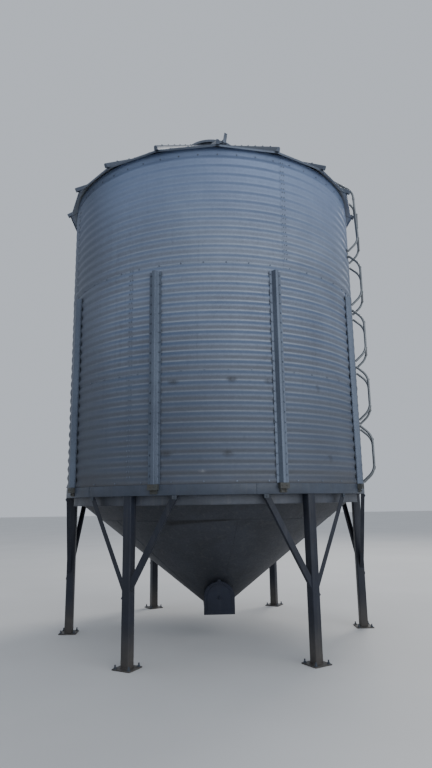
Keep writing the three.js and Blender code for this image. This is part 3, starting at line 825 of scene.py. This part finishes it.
def cone():
    shape = Shape()
    t = CONE_SHEET / math.cos(CONE_SLOPE)
    rows = [CONE_TIP, 0.20, 0.25, 0.33, 0.45, 0.60, 0.80, 1.00, 1.20]
    rows += [CONE_LAP - 0.002, CONE_LAP, CONE_LAP + 0.002, 1.50, 1.60, CONE_TOP]
    profile = [(r, cone_height(r) - (0.0035 if r > CONE_LAP else 0.0)) for r in rows]
    edge, top = SKIRT_RADIUS - 0.0065, RING_BOTTOM - 0.0004
    profile += [(edge, cone_height(CONE_TOP)), (edge, top), (CONE_TOP - 0.003, top)]
    profile += [(r, cone_height(r) + t) for r in reversed(rows)]
    shape.add(revolve(profile, 200))
    # weld seams: one round the cone, and one down each edge of its sheets
    around = CONE_LAP - 0.0015
    ring = [at(360 * k / 150, around, cone_height(around) - 0.002) for k in range(151)]
    shape.add(bead(ring, 0.0045))
    lower = (CONE_SEAM - 60, 0.40, 1.38, 40, 0.0004)
    upper = (CONE_SEAM - 30, 1.39, 1.68, 12, 0.0039)
    for first, near, far, count, sink in (lower, upper):
        for k in range(6):
            line = [at(first + 60 * k, r, cone_height(r) - sink) for r in np.linspace(near, far, count)]
            shape.add(bead(line, 0.0024))
    shape.finish("hopper_cone_shell", CONE, [f"hopper_cone_{i}" for i in range(1, 7)])


def arch(radius, floor, steps=28):
    """Outline of the boot: a half round on two upright sides and a floor."""
    pts = [(-radius, -floor), (radius, -floor)]
    return pts + curve(0, 0, radius, [math.pi * i / steps for i in range(steps + 1)])


def boot():
    shape = Shape()
    t = BOOT_SHEET
    outer, inner = arch(BOOT_R, BOOT_FLOOR), arch(BOOT_R - t, BOOT_FLOOR - t)
    n = len(outer)
    verts, faces = [], []
    stations = [-BOOT_BACK, -0.10, 0.12, 0.30, 0.45, BOOT_FRONT]
    for z in stations:
        verts.extend((x, y, z) for x, y in outer)
        verts.extend((x, y, z) for x, y in inner)
    last = (len(stations) - 1) * 2 * n
    for a in range(0, last, 2 * n):
        band(faces, a, a + 2 * n, n)
        band(faces, a + n, a + 3 * n, n, flip=True)
    band(faces, last, last + n, n)
    faces.append(tuple(reversed(range(n))))
    # the part that would stand inside the cone is left out
    keep = []
    m = np.array(BOOT_FRAME)
    world = np.array(verts) @ m[:3, :3].T + m[:3, 3]
    for f in faces:
        x, y, z = world[list(f)].mean(axis=0)
        if z < cone_height(max(math.hypot(x, y), CONE_TIP)) + 0.06:
            keep.append(f)
    shape.add((verts, keep), BOOT_FRAME)
    # the back wall, up to the cone
    wall = [(-BOOT_R, -BOOT_FLOOR), (BOOT_R, -BOOT_FLOOR)]
    for x in np.linspace(BOOT_R, -BOOT_R, 9):
        wall.append((x, cone_height(math.hypot(x, BOOT_BACK)) - BOOT_Z + 0.008))
    shape.add(prism(wall, t, -BOOT_BACK), BOOT_FRAME)
    # flange behind the cover, and a stiffening rib half way
    for z, w in ((BOOT_FRONT - 0.006, 0.010), (0.44, 0.006)):
        rim = arch(BOOT_R + w, BOOT_FLOOR + w * 0.6)
        shape.add(prism(rim, t, z, 0.001), BOOT_FRAME)
    # the welds between the boot and the cone
    for s in (-1, 1):
        line = []
        for y in np.linspace(-0.02, 0.42, 22):
            z = cone_height(math.hypot(BOOT_R, y)) - 0.001
            line.append(BOOT_TURN @ Vector((s * (BOOT_R - 0.002), -y, z)))
        shape.add(bead(line, 0.0045))
    shape.finish("unloading_boot_shell", BOOT, ["unloading_boot"])


def boot_cover():
    shape = Shape()
    cover = BOOT_FRAME @ shift(0, 0, BOOT_FRONT + GAP)
    shape.add(prism(arch(BOOT_R + 0.006, BOOT_FLOOR, 36), BOOT_SHEET, 0, 0.0012), cover)
    # a pressed ring, the middle bolt and the tab on top
    pts = [(x, y, 0.0052) for x, y in arch(BOOT_R - 0.024, BOOT_FLOOR - 0.028, 30)]
    shape.add(tube(pts + [pts[0]], 0.0035, sides=6, caps=False), cover)
    shape.add(bolt(0.016, 0.016, 0.030), cover @ UPRIGHT @ shift(0, 0.005, 0))
    shape.add(tube([(0, 0, 0.015), (0, 0, 0.026)], 0.0075, 10), cover)
    shape.add(block(0.036, 0.030, 0.005, (0, BOOT_R + 0.014, 0.0025)), cover)
    reach = BOOT_R - 0.008
    spots = curve(0, 0, reach, [math.pi * (k + 0.5) / 9 for k in range(9)])
    spots += [(x, y) for x in (-reach, reach) for y in (-0.06, -0.13)]
    for x, y in spots:
        shape.add(bolt(0.006, 0.005, 0.010), cover @ shift(x, y, 0.005) @ UPRIGHT)
    shape.finish("boot_cover_plate", COVER, ["boot_cover"])


# Legs

def brace(side):
    """An angle bar: one flange faces outward, the other points inward from its lower edge."""
    face, flange, t = 0.055, 0.044, STEEL
    head = math.radians(BRACE_HEAD * side)
    foot = Vector((0, BRACE_RADIUS, BRACE_FOOT))
    top = Vector((BRACE_RADIUS * math.sin(head), BRACE_RADIUS * math.cos(head), RING_BOTTOM))
    axis = (top - foot).normalized()
    outward = Vector((math.sin(head / 2), math.cos(head / 2), 0))
    across = outward.cross(axis)
    s = side
    low = s * face / 2
    inner = low - s * t
    outline = [
        (-low, 0), (-low, -t * 0.6), (-low + s * t * 0.4, -t), (inner - s * t * 0.5, -t), (inner, -t * 1.5),
        (inner, -flange + t * 0.4), (inner + s * t * 0.4, -flange), (low, -flange),
        (low, -0.001), (low - s * 0.001, 0),
    ]
    verts, faces = prism(outline, 1.0)
    # the head is cut level under the ring beam
    moved = []
    for x, y, z in verts:
        start = foot + across * x + outward * y
        if z < 0.5:
            moved.append(start - axis * face)
        else:
            length = (RING_BOTTOM - 0.0006 - start.z) / axis.z
            moved.append(start + axis * length)
    if Matrix((across, outward, axis)).determinant() < 0:
        faces = [tuple(reversed(f)) for f in faces]
    return [tuple(v) for v in moved], faces


def brace_end(side):
    """Frame at a brace's head, in the leg's own frame."""
    a = math.radians(BRACE_HEAD * side)
    m = Matrix.Rotation(-a, 4, "Z")
    m.translation = Vector((BRACE_RADIUS * math.sin(a), BRACE_RADIUS * math.cos(a), RING_BOTTOM - 0.0004))
    return m


def leg(index, angle):
    shape = Shape()
    base = place(angle)
    top, foot = RING_BOTTOM - GAP, PLATE_THICKNESS
    post = prism(rounded(LEG_SIZE, LEG_SIZE, 0.009), top - foot, foot)
    shape.add(post, base @ shift(0, LEG_RADIUS, 0))
    shape.add(block(PLATE, PLATE, foot, (0, LEG_RADIUS, foot / 2), 0.002), base)
    # anchor bolts
    for x in (-0.077, 0.077):
        for y in (LEG_RADIUS - 0.077, LEG_RADIUS + 0.077):
            shape.add(bolt(0.013, 0.012, 0.020), base @ (shift(x, y, foot) @ UPRIGHT), mat=1)
            shape.add(tube([(x, y, 0.02), (x, y, 0.045)], 0.0075, 10), base, mat=1)
    # the welds round its foot and its head
    for size, z, radius in ((LEG_SIZE + 0.003, 0.0135, 0.0045), (LEG_SIZE, top - 0.003, 0.0035)):
        ring = [(x, LEG_RADIUS + y, z) for x, y in rounded(size, size, 0.009, 3)]
        shape.add(bead(ring + [ring[0]], radius), base)
    for side in (-1, 1):
        shape.add(brace(side), base)
        # a clip that carries the brace's head under the ring beam
        end = base @ brace_end(side)
        shape.add(block(0.046, 0.006, 0.036, (0, 0.0032, -0.0185)), end, mat=1)
        shape.add(bolt(0.0070, 0.0045, 0.0105), end @ shift(0, 0.0062, -0.018), mat=1)
    shape.finish(f"leg_{index}_welded", [LEG, CLIP], [f"leg_{index}"])


# Roof

def roof_under(distance):
    """Height of the CAD's underside, at a distance from the axis across the middle of a panel."""
    return EAVE + (EAVE_REACH - distance) * math.tan(ROOF_SLOPE)


def panel_way(a0, f):
    """Direction to a point across a panel: f is 0 on its first seam and 1 on the next."""
    return out(a0) * (1 - f) + out(a0 + PANEL_ANGLE) * f


def roof_panel(shape, a0):
    """A thin sheet with a turned-down edge at the eave, and two pressed beads."""
    neck = (NECK_RADIUS + GAP) / HALF_COS
    rows = [(CORNER - 0.002, -0.020), (CORNER, 0.0), (CORNER, ROOF_TOP - 0.002), (CORNER - 0.003, ROOF_TOP)]
    rows += [(r, ROOF_TOP) for r in (1.6, 1.2, 0.8, 0.55, neck)]
    first_low = len(rows)
    rows += [(r, ROOF_LOW) for r in (neck, 0.55, 1.2, CORNER - 0.006)] + [(CORNER - 0.005, -0.020)]
    across = [0.0, 0.25, 0.5, 0.75, 1.0]
    verts, faces = [], []
    for f in across:
        for r, dz in rows:
            p = panel_way(a0, f) * r
            verts.append((p.x, p.y, roof_under(r * HALF_COS) + dz))
    m = len(rows)
    for c in range(len(across) - 1):
        band(faces, c * m, (c + 1) * m, m, flip=True)
    faces.append(tuple(range(m)))
    faces.append(tuple(reversed([(len(across) - 1) * m + i for i in range(m)])))
    # the underside, which only the ground lights, gets a much paler copy of the roof's zinc: painted light
    shape.add((verts, faces))
    shape.mats[-len(faces):] = [int(all(i % m >= first_low for i in f)) for f in faces]
    for f in (0.33, 0.67):
        d = panel_way(a0, f)
        pts = []
        for r in np.linspace(0.75, 1.78, 8):
            pts.append((d.x * r, d.y * r, roof_under(r * HALF_COS) + ROOF_TOP - 0.001))
        shape.add(tube(pts, [0.002] + [0.0055] * 6 + [0.002], 6))


def roof_rib(shape, a0, head):
    """The raised rib on a seam, with its bolts."""
    slope = math.atan(math.tan(ROOF_SLOPE) * HALF_COS)
    w, h = 0.0225, RIB_HEIGHT
    half = [(0.006, h), (w - 0.011, h - 0.004), (w - 0.006, h - 0.012)]
    half += [(w - 0.002, 0.0), (w, 0.0), (w, -0.003)]
    length = (RIB_OUTER - RIB_INNER) / math.cos(slope)
    centre = (RIB_OUTER + RIB_INNER) / 2
    z = roof_under(centre * HALF_COS) + ROOF_TOP
    sine, cosine = math.sin(slope), math.cos(slope)
    down = Matrix(((1, 0, 0, 0), (0, sine, cosine, centre), (0, cosine, -sine, z), (0, 0, 0, 1)))
    base = place(a0) @ down
    shape.add(prism(half + [(-x, y) for x, y in reversed(half)], length, -length / 2), base)
    for i in range(8):
        shape.add(head, base @ shift(0, h, -length / 2 + 0.08 + i * (length - 0.30) / 7))


def roof_sector(index):
    shape = Shape()
    head = bolt(0.008, 0.0065, 0.0125)
    panels = PANELS // SECTORS
    for k in range(panels):
        a0 = ROOF_TURN + PANEL_ANGLE * (1 + index * panels + k)
        roof_panel(shape, a0)
        roof_rib(shape, a0, head)
        # eave bolts through the panel
        tilt = place(a0 + PANEL_ANGLE / 2) @ Matrix.Rotation(math.radians(90) - ROOF_SLOPE, 4, "X")
        r = 1.815
        for f in (0.2, 0.5, 0.8):
            d = panel_way(a0, f)
            shape.add(head, shift(d.x * r, d.y * r, roof_under(r * HALF_COS) + ROOF_TOP) @ tilt)
    name = f"roof_sector_{index + 1}"
    shape.finish(name + "_panels", [ROOF, ROOF_UNDERSIDE_LIT], [name])


# Fill neck and lid

def fill_neck():
    shape = Shape()
    r, t, top = NECK_RADIUS, NECK_SHEET, NECK_TOP
    under = roof_under(r)
    low = under - 0.020
    shape.add(revolve([
        (r - t, low), (r, low), (r, low + 0.03),
        (r + 0.0015, low + 0.034), (r + 0.0015, low + 0.06), (r, low + 0.064),
        (r, top - 0.05), (r + 0.004, top - 0.046), (r + 0.004, top - 0.04), (r, top - 0.036),
        (r, top), (r - t, top),
    ], 96))
    # the flashing on the panels
    rim = roof_under(r + 0.022)
    shape.add(revolve([
        (r + 0.0005, under + 0.055), (r + 0.004, under + 0.052), (r + 0.008, under + 0.022),
        (r + 0.022, rim + 0.012), (r + 0.022, rim + 0.008), (r + 0.005, under + 0.010),
    ], 96))
    bolt_row(shape, bolt(0.006, 0.005, 0.010), 12, 15, r + 0.0060, under + 0.040)
    shape.finish("fill_neck_tube", CAP, ["fill_neck"])


def fill_lid():
    shape = Shape()
    radius, flat, th = LID_RADIUS, LID_FLAT, LID_SHEET
    pitch = (LID_RISE - th) / (radius - th - flat)
    base = NECK_TOP + GAP - (radius - th - NECK_RADIUS) * pitch
    low, top = base - LID_SKIRT, base + LID_RISE
    prof = [(radius - th, low)]
    prof += curve(radius + 0.0008, low + 0.004, 0.004, np.linspace(-math.pi / 2, math.pi / 2, 6))
    prof += [(radius, base + th - 0.002), (radius - 0.002, base + th)]
    prof += [(flat + (radius - flat) * f, top - (LID_RISE - th) * f) for f in (0.85, 0.6, 0.35, 0.12)]
    prof += [(flat, top - 0.0005), (0.03, top), (0.0005, top + 0.0005), (0.0005, top - th)]
    prof += [(flat, top - th), (radius - th, base)]
    shape.add(revolve(prof, 120))
    shape.add(tube([(0.0, 0.0, top - 0.002), (0.0, 0.0, top + 0.010)], 0.012, 12))
    # pressed rays
    for k in range(12):
        ray = []
        for q in (0.075, radius - 0.012):
            p = out(30 * k + 10) * q
            ray.append((p.x, p.y, top - (LID_RISE - th) * (q - flat) / (radius - flat) + 0.0005))
        shape.add(tube(ray, 0.003, 6))
    # hinge bracket on the rim's front right, with its lever
    hinge = place(28, radius - th / 2, low)
    for side in (-1, 1):
        shape.add(block(0.006, 0.024, 0.046, (side * 0.027, 0.012, 0.023)), hinge)
    shape.add(block(0.060, 0.006, 0.044, (0, 0.004, 0.022)), hinge)
    shape.add(tube([(-0.030, 0.013, 0.034), (0.030, 0.013, 0.034)], 0.0065, 12), hinge)
    lever = hinge @ shift(0, 0.013, 0.0115) @ turned(-11, "Y")
    shape.add(prism(rounded(0.050, 0.012, 0.0055, 3), 0.156, 0.0, 0.002), lever)
    shape.add(tube([(0.0, -0.010, 0.136), (0.0, 0.010, 0.136)], 0.006, 10), lever)
    shape.finish("fill_lid_cap", CAP, ["fill_lid"])


# Ladder

def leaning_reach(z):
    """How far out the top section's rails and the grab rails are."""
    return RAIL - LEAN * (z - LEAN_START) / (LADDER_TOP - LEAN_START)


def ladder_piece(name, bottom, top_open=False):
    """Two rails with two rungs. Their bent ends stand on the wall; the top section's run on up."""
    shape = Shape()
    base = place(LADDER_ANGLE)
    foot = math.sqrt(R * R - HALF * HALF) + 0.006 + TUBE / 2
    low, high = bottom + 0.032, bottom + SECTION - 0.032
    for side in (-1, 1):
        x = side * HALF
        pts = [(x, foot, low), (x, RAIL, bottom + BEND)]
        if top_open:
            pts.append((x, leaning_reach(LADDER_TOP), LADDER_TOP))
        else:
            pts += [(x, RAIL, bottom + SECTION - BEND), (x, foot, high)]
        shape.add(tube(pts, TUBE, 14, TUBE_BEND, 9), base)
        spread = math.degrees(math.asin(HALF / R)) * side
        for z, inward in ([(low, 0.012)] if top_open else [(low, 0.012), (high, -0.012)]):
            spot = place(LADDER_ANGLE - spread, R + 0.0004, z)
            shape.add(block(0.044, 0.006, 0.044, (0, 0.003, 0)), spot)
            shape.add(bolt(0.0085, 0.007, 0.013), spot @ shift(side * -0.012, 0.006, inward))
    offset = BEND + TUBE_BEND / 2
    for z in (bottom + offset, bottom + SECTION - offset):
        shape.add(tube([(-HALF, RAIL, z), (HALF, RAIL, z)], RUNG), base)
        for side in (-1, 1):
            x = side * (HALF - 0.013)
            ring = [(x, *p) for p in curve(RAIL, z, RUNG, np.linspace(-1.6, 1.6, 7))]
            shape.add(bead(ring, 0.003), base)
    shape.finish(name + "_tubes", LADDER, [name])


def grab_rail(name, side):
    shape = Shape()
    x = side * HALF
    foot = roof_under(GRAB_REACH) + ROOF_TOP + 0.008
    start, bend = LADDER_TOP + GAP, RING_BOTTOM + 3.725
    pts = [(x, leaning_reach(z), z) for z in (start, bend)]
    pts += [(x, 1.235, RING_BOTTOM + 4.240), (x, GRAB_REACH, foot)]
    base = place(LADDER_ANGLE)
    shape.add(tube(pts, TUBE, 14, TUBE_BEND, 10), base)
    sleeve = [(x, leaning_reach(z), z) for z in (LADDER_TOP + 0.002, LADDER_TOP + 0.028)]
    shape.add(tube(sleeve, TUBE + 0.0025, 14), base)
    shape.finish(name + "_tube", LADDER, [name])


def build_silo():
    for ring in range(SHEET_RINGS):
        for sheet in range(SHEETS_PER_RING):
            wall_sheet(ring, sheet)
    wall_bolts()
    for i in range(STIFFENER_COUNT):
        stiffener(i + 1, STIFFENER_TURN + 360 / STIFFENER_COUNT * i)
    ring_beam()
    skirt()
    cone()
    boot()
    boot_cover()
    for i in range(LEG_COUNT):
        leg(i + 1, 30 + 360 / LEG_COUNT * i)
    for i in range(SECTORS):
        roof_sector(i)
    fill_neck()
    fill_lid()
    for i in range(SECTIONS):
        ladder_piece(f"ladder_section_{i + 1}", LADDER_BOTTOM + i * SECTION)
    ladder_piece("ladder_top_section", LADDER_BOTTOM + SECTIONS * SECTION, top_open=True)
    grab_rail("grab_rail_front", 1)
    grab_rail("grab_rail_back", -1)


# Studio: pale floor, soft light, and the camera where the photograph was taken

def floor():
    n = Nodes("studio_floor")
    tone = n.noise(0.6, 3, 0.5)
    mat = n.done(n.mix(n.fit(tone, 0.3, 0.7), (0.60, 0.60, 0.60), (0.64, 0.64, 0.64)), 0.85, 0.0)
    mesh = bpy.data.meshes.new("studio_floor")
    s = 60.0
    mesh.from_pydata([(-s, -s, 0), (s, -s, 0), (s, s, 0), (-s, s, 0)], [], [(0, 1, 2, 3)])
    mesh.materials.append(mat)
    obj = new_object("studio_floor", mesh)


def area_light(name, place_at, target, size, power, color):
    data = bpy.data.lights.new(name, "AREA")
    data.shape = "RECTANGLE"
    data.size, data.size_y = size
    data.energy = power
    data.color = color
    obj = new_object(name, data)
    obj.location = place_at
    obj.rotation_euler = (Vector(target) - Vector(place_at)).to_track_quat("-Z", "Y").to_euler()


def studio():
    floor()
    world = bpy.data.worlds.new("studio_world")
    bpy.context.scene.world = world
    world.use_nodes = True
    back = world.node_tree.nodes["Background"]
    back.inputs[0].default_value = (0.80, 0.86, 0.95, 1.0)
    back.inputs[1].default_value = 0.70
    area_light("key", (6.5, 9.0, 13.0), (0, 0, 4), (6, 6), 1100, (1.0, 0.97, 0.92))
    area_light("fill", (6.5, -10.5, 6.0), (0, 0, 3.5), (12, 10), 700, (0.94, 0.97, 1.0))


def camera():
    """Lens and place, fitted to the photograph; turn swings the camera round the silo."""
    yaw, tilt, roll, turn = (math.radians(v) for v in (0.2199, 11.8051, -0.8627, -1.55))
    ahead = Vector((math.sin(yaw) * math.cos(tilt), math.cos(yaw) * math.cos(tilt), math.sin(tilt)))
    level = Vector((math.cos(yaw), -math.sin(yaw), 0.0))
    over = level.cross(ahead)
    right = level * math.cos(roll) + over * math.sin(roll)
    up = -level * math.sin(roll) + over * math.cos(roll)
    spin = Matrix.Rotation(turn, 3, "Z")
    right, up, ahead = spin @ right, spin @ up, spin @ ahead
    data = bpy.data.cameras.new("photo_camera")
    data.lens = 26.25
    data.sensor_width = 36.0
    data.sensor_fit = "AUTO"
    data.clip_end = 300
    pose = Matrix((right, up, -ahead)).transposed().to_4x4()
    pose.translation = spin @ Vector((0.0, -7.085, 1.492))
    obj = new_object("photo_camera", data)
    obj.matrix_world = pose
    bpy.context.scene.camera = obj


camera()
build_silo()
studio()
